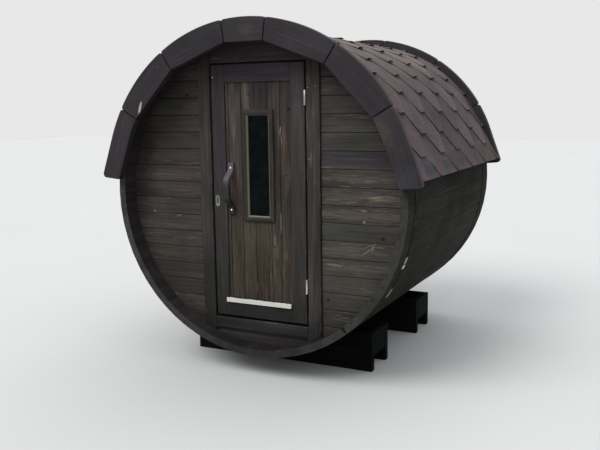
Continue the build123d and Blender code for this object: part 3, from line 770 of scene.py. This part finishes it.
upright_outlines = [
    oblong(low, joints[0], high, joints[1]),
    oblong(low, joints[1], high, joints[2]),
    [(low, joints[2]), (high, joints[2]), (high, joints[3]), (hole_high, joints[3]), (hole_high, -hole_half),
        (hole_low, -hole_half), (hole_low, joints[3]), (low, joints[3])],
    oblong(low, joints[3], hole_low, joints[4]),
    oblong(hole_high, joints[3], high, joints[4]),
    [(low, joints[5]), (low, joints[4]), (hole_low, joints[4]), (hole_low, hole_half), (hole_high, hole_half),
        (hole_high, joints[4]), (high, joints[4]), (high, joints[5])][::-1],
    oblong(low, joints[5], high, joints[6])]
boards = [plank(outline, 0.024, on_end(panel_front), 720 + n, 0.0032)
    for n, outline in enumerate(upright_outlines)]
timber("door_boards", boards, board_wood, "door", "door_board_wood", "door_panel")

# Window
# One clear pane is held between two mitred mouldings, outside and inside. Their inner edge turns in
# to the glass and carries a painted highlight.
# The pale yellow-green edge tone on the moulding's inner edge is a painted highlight.
bead_wood = stained_wood(
    "window moulding oil", (34, 32, 29), (53, 50, 45), (74, 70, 62), (58, 53, 51), (138, 136, 112),
    edge_amount=1.4, bare_within=0.8185)


def mitred_side(corners, y_face, outward, seed, side_light):
    """One side of a mitred frame: a section carried from corner to corner, with slanting ends."""
    chance = random.Random(seed)
    start = grain_start(chance)
    share = chance.random()
    (x0, z0, _, _), (x1, z1, _, _) = corners
    points, grains, edges = [], [], []
    for (x, z, x_way, z_way), run in zip(corners, (0, hypot(x1 - x0, z1 - z0))):
        for reach, proud, lit in bead_section:
            height = axis_height + z + z_way * reach
            points.append(Vector((x + x_way * reach, y_face + outward * proud, height)))
            grains.append(start + Vector((run, reach, proud)))
            edges.append(lit * side_light)
    count = len(bead_section)
    faces = [[n, (n + 1) % count, count + (n + 1) % count, count + n] for n in range(count)]
    faces += [list(range(count))[::-1], list(range(count, 2 * count))]
    return points, faces, grains, [share] * len(points), edges


def turn_outwards(mesh, joined_within=0):
    """Makes a mesh's faces look outwards, after it joins points that lie together."""
    work = bmesh.new()
    work.from_mesh(mesh)
    if joined_within:
        bmesh.ops.remove_doubles(work, verts=work.verts, dist=joined_within)
    bmesh.ops.recalc_face_normals(work, faces=work.faces)
    work.to_mesh(mesh)
    work.free()


# The moulding's section: reach from the glass edge, height over the boards and how much of the painted
# highlight it takes.
bead_section = [
    (0, -0.0085, 1), (0, 0.001, 1), (0.002, 0.0035, 0.8), (0.0075, 0.0064, 0.2),
    (0.0095, 0.0074, 0), (0.016, 0.0108, 0), (0.019, 0.012, 0), (0.03, 0.012, 0),
    (0.0345, 0.01, 0), (0.036, 0.0065, 0), (0.036, 0.0002, 0), (0.0046, 0.0002, 0),
    (0.0046, -0.0085, 0)]
bead_corners = [(x_way * 0.071, z, x_way, z_way)
    for x_way, z, z_way in ((-1, -0.123, -1), (1, -0.123, -1), (1, 0.487, 1), (-1, 0.487, 1))]
bead_sides = []
for y_face, outward in ((panel_front, -1), (-0.818, 1)):
    # The painted highlight is strongest on the bottom and left sides, weaker on the right and faint on the
    # top.
    for number, side_light in enumerate((1, 0.6, 0.2, 0.9)):
        pair = (bead_corners[number], bead_corners[(number + 1) % 4])
        bead_sides.append(mitred_side(pair, y_face, outward, 740 + number + outward, side_light))
turn_outwards(timber("window_mouldings", bead_sides, bead_wood, "door", "bead_wood", "window_beads").data)
glass, pane, place = new_material("window clear glass")
smear = noise(stretched(place, (3, 1, 1.2)), 6, 4, 0.6)
feed(pane, {
    "Base Color": ramp(smear, [(0.3, (96, 118, 128)), (0.75, (140, 160, 156))]),
    "Roughness": scaled(smear, 0.06, 0),
    "Transmission Weight": 1,
    "IOR": 1.25,
    "Specular Tint": (0.32, 0.44, 0.46, 1)})
dress(glass, "window_glass")

# Handle
# A bow of stained hardwood stands off the boards between two flat feet, with a round-headed screw
# through each. Its upper foot and limb, which face up, carry a painted highlight, and its lower foot a
# painted shade.
# A painted highlight on the upper foot and limb, and a painted shade on the lower foot.
painted_limb_light = [
    (-0.19, 0.15, 0.085, 0.06, 0, (92, 87, 93), 0.9),
    (-0.19, -0.1, 0.075, 0.06, 0, (46, 44, 36), 0.85)]
handle_wood = stained_wood(
    "handle stain with painted light", (42, 40, 38), (62, 59, 56), (84, 80, 77), (60, 56, 54), (98, 92, 90),
    edge_amount=0.2, rings_show=0.25, knot_share=0, rough=0.5, marks=[(painted_limb_light, {})])


def eased_corner(before, corner, after, radius, count=4):
    """Points of a round that replaces one corner of an outline."""
    before, corner, after = Vector(before), Vector(corner), Vector(after)
    one, two = (before - corner).normalized(), (after - corner).normalized()
    half = one.angle(two) / 2
    centre = corner + (one + two).normalized() * (radius / sin(half))
    start = corner + one * (radius / tan(half)) - centre
    end = corner + two * (radius / tan(half)) - centre
    turned = start.angle(end)
    round_points = []
    for n in range(count + 1):
        share = n / count
        mixed = start * sin((1 - share) * turned) + end * sin(share * turned)
        round_points.append(tuple(centre + mixed / sin(turned)))
    return round_points


# The bow's corners, as seen from the side: height along it, distance off the boards and round.
handle_turns = [
    (-0.161, 0, 0.002), (-0.11, 0, 0.03), (-0.056, 0.051, 0.04), (0.056, 0.051, 0.04),
    (0.11, 0, 0.03), (0.161, 0, 0.002), (0.161, 0.015, 0.006), (0.118, 0.017, 0.03),
    (0.064, 0.0775, 0.035), (-0.064, 0.0775, 0.035), (-0.118, 0.017, 0.03), (-0.161, 0.015, 0.006)]
handle_x, handle_face, handle_middle, handle_width = -0.19, -0.8422, 0.04, 0.038
handle_outline = []
for number, (up, off, radius) in enumerate(handle_turns):
    before, after = handle_turns[number - 1][:2], handle_turns[(number + 1) % len(handle_turns)][:2]
    handle_outline += eased_corner(before, (up, off), after, radius, 6)
handle_place = placed(
    (handle_x - handle_width / 2, handle_face, axis_height + handle_middle), (0, 0, 1), (0, -1, 0))
bow = plank(handle_outline, handle_width, handle_place, 760, 0.0065, 5)
timber("bow_handle", [bow], handle_wood, "door", "handle_wood", "door_handle")


def screw_heads(name, places, radius, material, body):
    """Round heads with a socket, on faces that look forward: x, height over the axis and the face's y."""
    profile = [(1, 0), (1, 0.18), (0.86, 0.42), (0.6, 0.56), (0.34, 0.6), (0.28, 0.3), (0, 0.3)]
    points, faces = [], []
    for x, z, y in places:
        first = len(points)
        for reach, proud in profile:
            for n in range(12):
                turn = radians(30 * n)
                points.append((x + radius * reach * cos(turn), y - radius * proud,
                    axis_height + z + radius * reach * sin(turn)))
        for ring in range(len(profile) - 1):
            for n in range(12):
                a, b = first + ring * 12 + n, first + ring * 12 + (n + 1) % 12
                faces.append([a, b, b + 12, a + 12])
    piece = new_object(name, points, faces, material)
    turn_outwards(piece.data, 0.00002)
    smooth_under(piece.data, 40)
    settle(piece, body, "galvanised_steel")


zinc = weathered_metal("zinc plated screw", (196, 196, 190), (236, 236, 230), 0.5, 0.35)
dull_pin = weathered_metal("dull nail head", (112, 110, 104), (150, 148, 140), 0.5, 0.5)
screw_places = [(handle_x, handle_middle + way * 0.1305, handle_face - 0.0155) for way in (1, -1)]
post_places = [(0.344, 0.645, frame_front), (0.389, 0.653, frame_front), (0.345, 0.232, frame_front)]
fascia_front = -0.9982
screw_heads("handle_screws", screw_places, 0.0072, zinc, "door")
screw_heads("leaf_pin", [(-0.306, 0.72, leaf_front)], 0.0034, zinc, "door")
screw_heads("post_pins", post_places, 0.003, dull_pin, "cabin")
screw_heads("fascia_pins", [(0.181, 0.965, fascia_front + 0.0022)], 0.0034, dull_pin, "cabin")

# Lock plate, hinges and drip strip
# A galvanised keyhole plate is pinned to the lock stile, two galvanised butt hinges carry the leaf, and
# a white painted strip over the bottom rail throws rain off the boards.
galvanised = weathered_metal("galvanised steel", (150, 152, 150), (214, 216, 212), 0.34, 0.48)
plate_mark = [(-0.291, -0.038, 0.027, 0.0085, 0, (74, 80, 76), 0.8)]
plate = weathered_metal("lock plate zinc", (98, 105, 101), (132, 140, 134), 0.34, 0.6, plate_mark, 0.3)
dress(plate, "lock_escutcheon")
dress(galvanised, "hinge_post_halves", "hinge_door_halves")
drip_paint, shader, place = new_material("drip strip white paint")
chipped = fade(noise(place, (30, 30, 90), 4, 0.7), 0.6, 0.72)
dusty = noise(place, 14, 4, 0.6)
feed(shader, {
    "Base Color": stain(blend(dusty, (226, 226, 220), (196, 194, 184)), (120, 110, 98), chipped, 0.7),
    "Roughness": scaled(dusty, 0.3, 0.3),
    "Normal": bump(chipped, -0.0005, 0.6)})
chance = random.Random(77)
strip_outline = [(-0.24, 0), (0.217, 0)]
strip_outline += [(0.217 - 0.457 * n / 40, 0.029 - chance.uniform(0, 0.0035)) for n in range(41)]
strip = plank(strip_outline, 0.012, facing(leaf_front - 0.0002, axis_height - 0.681), 780, 0.0015)
timber("drip_moulding", [strip], drip_paint, "door", "drip_paint", "drip_strip")

# Roof
# Thin boards are bent over the upper staves and run out straight at the eaves on a wedge batten.
# Over them lie courses of six-sided bitumen shingles, pinkish brown with fine grit.
deck_wood = stained_wood(
    "deck dark oil", (28, 25, 22), (40, 36, 32), (54, 48, 42), (38, 34, 36), (60, 54, 50), whole=True)
dress(deck_wood, "roof_deck_right", "roof_deck_left", "eaves_battens")
roof_base, roof_face = 0.9975, 1.006
skirt_start = radians(62)
eaves_run = 1.4726
roof_end = 0.9498
tab_pitch, flat_half, slant = 0.376, 0.046, 0.096
first_tab = -0.925
sheet = 0.0025
courses = 11
course_edges = [eaves_run - 0.1325 * n - 0.0011 * n * n for n in range(courses)]
shingle, shader, place = new_material("bitumen shingle grit")
across, along, up = put("SeparateXYZ", {0: place}).outputs
tab_tone = reading(shader, "tab")["Fac"]
grit = noise(place, 520, 2, 0.6)
mottle = noise(place, 38, 4, 0.65)
cloud = noise(place, 5, 4, 0.6)
tone = scaled(mottle, 0.5, scaled(tab_tone, 0.28, times(cloud, 0.45)))
colour = ramp(tone, [(0.3, (62, 53, 55)), (0.58, (80, 69, 71)), (0.85, (104, 91, 90))])
# Paler towards the ridge: partly dust, partly a painted sheen where the upper roof faces the sky.
colour = stain(colour, (130, 120, 114), fade(scaled(cloud, 0.35, up), 1.9, 2.3), 0.6)
colour = stain(colour, (136, 122, 114), fade(grit, 0.58, 0.72), 0.5)
colour = stain(colour, (42, 35, 35), fade(grit, 0.42, 0.3), 0.6)
# Damp stands in a row of patches along the right of the roof, greener towards the rear.
uneven = scaled(mottle, 0.16, -0.08)
turns = scaled(noise(place, 14), 0.14, maths("DIVIDE", along, tab_pitch))
beside = maths("ABSOLUTE", maths("SUBTRACT", maths("FRACT", maths("ADD", turns, 0.36)), 0.5))
band = maths("ABSOLUTE", maths("SUBTRACT", maths("ADD", up, uneven), 1.292))
damp = times(fade(maths("ADD", beside, uneven), 0.38, 0.2), fade(band, 0.04, 0.01))
damp = times(damp, maths("GREATER_THAN", across, 0))
colour = stain(colour, blend(fade(along, 0.25, 0.45), (54, 62, 69), (76, 75, 62)), damp, 0.8)
feed(shader, {
    "Base Color": colour,
    "Roughness": scaled(mottle, 0.15, 0.78),
    "Specular IOR Level": 0.1,
    "Sheen Weight": 0.03,
    "Sheen Roughness": 0.4,
    "Normal": bump(grit, 0.0012, 0.7)})
bitumen, shader, place = new_material("bitumen cut edge")
crumb = noise(place, 300)
feed(shader, {
    "Base Color": blend(crumb, (22, 18, 18), (44, 37, 37)),
    "Roughness": scaled(crumb, 0.2, 0.75),
    "Specular IOR Level": 0.1})


def roof_point(run, y, lift, side):
    """A point on the roof, from its distance down from the ridge and its height over the deck."""
    angle = pi / 2 - min(run / roof_face, skirt_start)
    straight = max(run - skirt_start * roof_face, 0)
    x = (roof_base + lift) * cos(angle) + straight * sin(angle)
    z = (roof_base + lift) * sin(angle) - straight * cos(angle)
    return side * x, y, axis_height + z


def course(edge, exposure, head, tabs, side, chance, raised=0.0062, falling=0.0029, rows=8):
    """One course of six-sided tabs, or a plain strip, as a thin sheet with a top and underside: the points,
    and each face with its tone and material. The middle of each tab's flat end is lifted."""
    def nearest(y):
        return min(range(len(tabs)), key=lambda n: abs(y - tabs[n])) if tabs else 0

    cuts = {-roof_end, roof_end}
    for n, tab in enumerate(tabs):
        for away in (flat_half / 2, flat_half, flat_half + slant):
            cuts |= {tab - away, tab + away}
        if n:
            cuts.add((tab + tabs[n - 1]) / 2)
    columns = sorted(cut for cut in cuts if -roof_end <= cut <= roof_end)
    held_down = 1 if 0.4 < edge < 1.4 else 0.55
    lifts = [chance.uniform(0.01, 0.015) * held_down for _ in tabs] or [0]
    tones = [chance.random() for _ in tabs] or [chance.random()]
    top, under = [], []
    for y in columns:
        away = abs(y - tabs[nearest(y)]) if tabs else 0
        low = edge - exposure * min(max((away - flat_half) / slant, 0), 1)
        lift = lifts[nearest(y)] * min(max(2 - 2 * away / flat_half, 0.25), 1)
        for n in range(rows + 1):
            run = head + (low - head) * n / rows
            curl = lift * max(0, 1 - (edge - run) / exposure) ** 7
            height = raised - falling * (edge - run) / exposure + curl
            top.append(roof_point(run, y, height, side))
            under.append(roof_point(run, y, max(height - sheet, 0), side))
    below, count, last = len(top), rows + 1, len(columns) - 1
    faces = []
    for c in range(last):
        tone = tones[nearest((columns[c] + columns[c + 1]) / 2)]
        for r in range(rows):
            a, b = c * count + r, (c + 1) * count + r
            faces.append(([a, a + 1, b + 1, b], tone, 0))
            faces.append(([below + i for i in (b, b + 1, a + 1, a)], tone, 1))
        for r in (0, rows):
            a, b = c * count + r, (c + 1) * count + r
            faces.append(([a, b, below + b, below + a] if r else [b, a, below + a, below + b], tone, 1))
    for c in (0, last):
        for r in range(rows):
            a = c * count + r
            rim = [a, below + a, below + a + 1, a + 1]
            faces.append((rim[::-1] if c else rim, tones[0], 1))
    return top + under, faces


for side, side_name in ((1, "right"), (-1, "left")):
    chance = random.Random(900 + side)
    sheets = [course(eaves_run, 0.134, 1.3, [], side, chance, 0.0032, 0, 4)]
    for number, edge in enumerate(course_edges[:courses if side > 0 else courses - 1]):
        exposure = course_edges[max(number, 1) - 1] - course_edges[max(number, 1)]
        head = edge - 2.05 * exposure - 0.01
        first = first_tab + (number % 2) * tab_pitch / 2 + chance.uniform(-0.01, 0.01)
        tabs = [first + n * tab_pitch + chance.uniform(-0.012, 0.012) for n in range(6)]
        sheets.append(course(edge, exposure, head, tabs, side, chance))
    points, faces, tones, kinds = [], [], [], []
    for sheet_points, sheet_faces in sheets:
        for face, tone, kind in sheet_faces:
            faces.append([len(points) + index for index in (face if side > 0 else face[::-1])])
            tones.append(tone)
            kinds.append(kind)
        points += sheet_points
    piece = new_object("shingles_" + side_name, points, faces, shingle, bitumen)
    piece.data.attributes.new("tab", "FLOAT", "FACE").data.foreach_set("value", tones)
    piece.data.polygons.foreach_set("material_index", kinds)
    smooth_under(piece.data, 35)
    settle(piece, "cabin", "shingles", "roof_shingles_" + side_name)

# Fascia
# Seven thick boards cover the stave ends and the roof's edge at each end: three a side and a keystone.
# Each is sawn round outside, with every corner and edge eased, and the lowest turns straight to its foot.
fascia_outer, fascia_inner, fascia_gap = 1.052, 0.92, 0.0025
board_span, keystone_span, foot_angle = 25.6, 16, 20
side_start = 90 - keystone_span / 2
fascia_tone = (52, 46, 50)
dark_joints = []
for way in (-1, 1):
    for n in range(3):
        turn = 90 + way * (keystone_span / 2 + board_span * n)
        (x, z), = arc_points((fascia_outer + fascia_inner) / 2, turn, turn, 1)[:1]
        dark_joints.append((x, z, 0.11, 0.0075, 90 - turn, (15, 12, 13), 0.85))
raw_chip = [
    (-0.752, 0.545, 0.046, 0.011, 18, (186, 180, 169), 0.85),
    (-0.109, 0.978, 0.004, 0.004, 0, (14, 12, 12), 0.9),
    (-0.605, 0.788, 0.004, 0.004, 0, (120, 116, 114), 0.7)]
fascia_clouds = [
    (0.855, 0.4, 0.15, 0.05, -25, (68, 64, 59), 0.6),
    (0.985, 0.16, 0.08, 0.07, 0, (56, 60, 66), 0.5),
    (-0.34, 0.92, 0.11, 0.22, 0, (46, 41, 44), 0.6),
    (-0.9, 0.35, 0.18, 0.08, 20, (60, 53, 60), 0.6),
    (0.42, 0.88, 0.09, 0.16, 0, (62, 54, 62), 0.6),
    (0.02, 0.99, 0.05, 0.08, 0, (66, 60, 58), 0.6)]
fascia_wood = stained_wood(
    "fascia dark brown stain", (36, 30, 34), fascia_tone, (67, 60, 65), (51, 49, 51), (96, 90, 90),
    edge_amount=0.35, rings_show=0.06, fibre_show=0.08, knot_share=0, contrast=0.6, spread=0.5, cloud=0.8,
    rough=0.5, relief=0.0003,
    marks=[
        (fascia_clouds, {"streaks": (9, 9, 9), "ragged_by": 2, "over": fascia_tone}),
        (dark_joints, {"ragged_by": 0.4}),
        (raw_chip, {"ragged_by": 1.1, "along_y": (fascia_front, 0.009)})])
front_shares = {"right": (0.35, 0.38, 0.9), "left": (0.1, 0.6, 0.5), "keystone": (0.8,)}


def fascia_outline(span, foot):
    """A board's outline about its own middle angle: the tangent is first and the radius second. With foot, it
    runs straight down from that angle."""
    def edge(radius, rounded):
        trim = degrees(fascia_gap / 2 / radius)
        low, high = -span / 2 + trim, span / 2 - trim
        if foot is not None:
            start = (radius / cos(radians(foot - low)), low)
            return [start] + [(radius, foot + (high - foot) * n / 8) for n in range(9)]
        steps = 16 if rounded else 1
        return [(radius, low + (high - low) * n / steps) for n in range(steps + 1)]

    outer, inner = edge(fascia_outer, True), edge(fascia_inner, False)
    raw = [(r * sin(radians(a)), r * cos(radians(a))) for r, a in outer + inner[::-1]]
    rounds = {len(outer) - 1: 0.016, len(outer): 0.011, len(raw) - 1: 0.011}
    rounds[0] = 0.016 if foot is None else 0.024
    outline = []
    for n, point in enumerate(raw):
        if n in rounds:
            outline += eased_corner(raw[n - 1], point, raw[(n + 1) % len(raw)], rounds[n])
        else:
            outline.append(point)
    return outline[::-1]


for end_name, y_low in (("front", fascia_front), ("rear", 0.9502)):
    for side, side_name in ((1, "right"), (-1, "left"), (0, "keystone")):
        boards = []
        for number in range(3 if side else 1):
            middle = side_start - board_span * (number + 0.5) if side else 90
            foot = foot_angle - middle if side and number == 2 else None
            outline = fascia_outline(board_span if side else keystone_span, foot)
            if side < 0:
                middle = 180 - middle
                outline = [(-u, v) for u, v in reversed(outline)]
            place = on_the_round(y_low, radians(middle))
            share = front_shares[side_name][number] if end_name == "front" else None
            seed = 800 + number * 3 + side + int(y_low * 50)
            boards.append(plank(outline, 0.048, place, seed, 0.006, 3, share))
        part = "%s_%s" % (end_name, side_name)
        timber("fascia_boards_" + part, boards, fascia_wood, "cabin", "fascia_wood", "fascia_" + part)

# Studio
# A plain pale floor and surround, which camera, metal and glass see as one tone. The light is that of
# an overcast sky, brighter overhead, with a soft key from the upper left in front and two weak fills.


def shown(tree):
    """1 for the rays that show the background: those of the camera, of a reflection and through glass."""
    rays = put("LightPath", {}, tree).outputs
    straight_or_glossy = maths("MAXIMUM", rays["Is Camera Ray"], rays["Is Glossy Ray"])
    return maths("MAXIMUM", straight_or_glossy, rays["Is Transmission Ray"])


pale, shader, place = new_material("studio pale floor")
seen = blend(noise(place, 0.4), (196, 196, 194), (201, 201, 199))
feed(shader, {"Base Color": blend(shown(shader.id_data), (140, 139, 136), seen), "Roughness": 0.9})
floor_corners = [(x, y, 0) for x, y in oblong(-30, -30, 30, 30)]
new_object("studio_floor", floor_corners, [(0, 1, 2, 3)], pale)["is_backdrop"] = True
world = bpy.data.worlds.new("studio")
bpy.context.scene.world = world
world.use_nodes = True
upwards = put("SeparateXYZ", {0: put("TexCoord", {}, world.node_tree).outputs["Generated"]}).outputs[2]
sky = blend(fade(upwards, -0.1, 0.9), (0.22, 0.23, 0.25, 1), (1, 1.03, 1.08, 1))
feed(world.node_tree.nodes["Background"], {"Color": blend(shown(world.node_tree), sky, (231, 232, 231))})
for lamp_name, place, power, softness in (
        ("key", (-3, -5.5, 7.5), 1.7, 35),
        ("top", (0.5, 4, 8), 0.5, 50),
        ("fill", (4, -6, 1.2), 0.35, 60)):
    lamp = bpy.data.objects.new(lamp_name, bpy.data.lights.new(lamp_name, "SUN"))
    lamp.data.energy = power
    lamp.data.angle = radians(softness)
    lamp.rotation_euler = Vector(place).to_track_quat("Z", "Y").to_euler()
    bpy.context.collection.objects.link(lamp)

low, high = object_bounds()
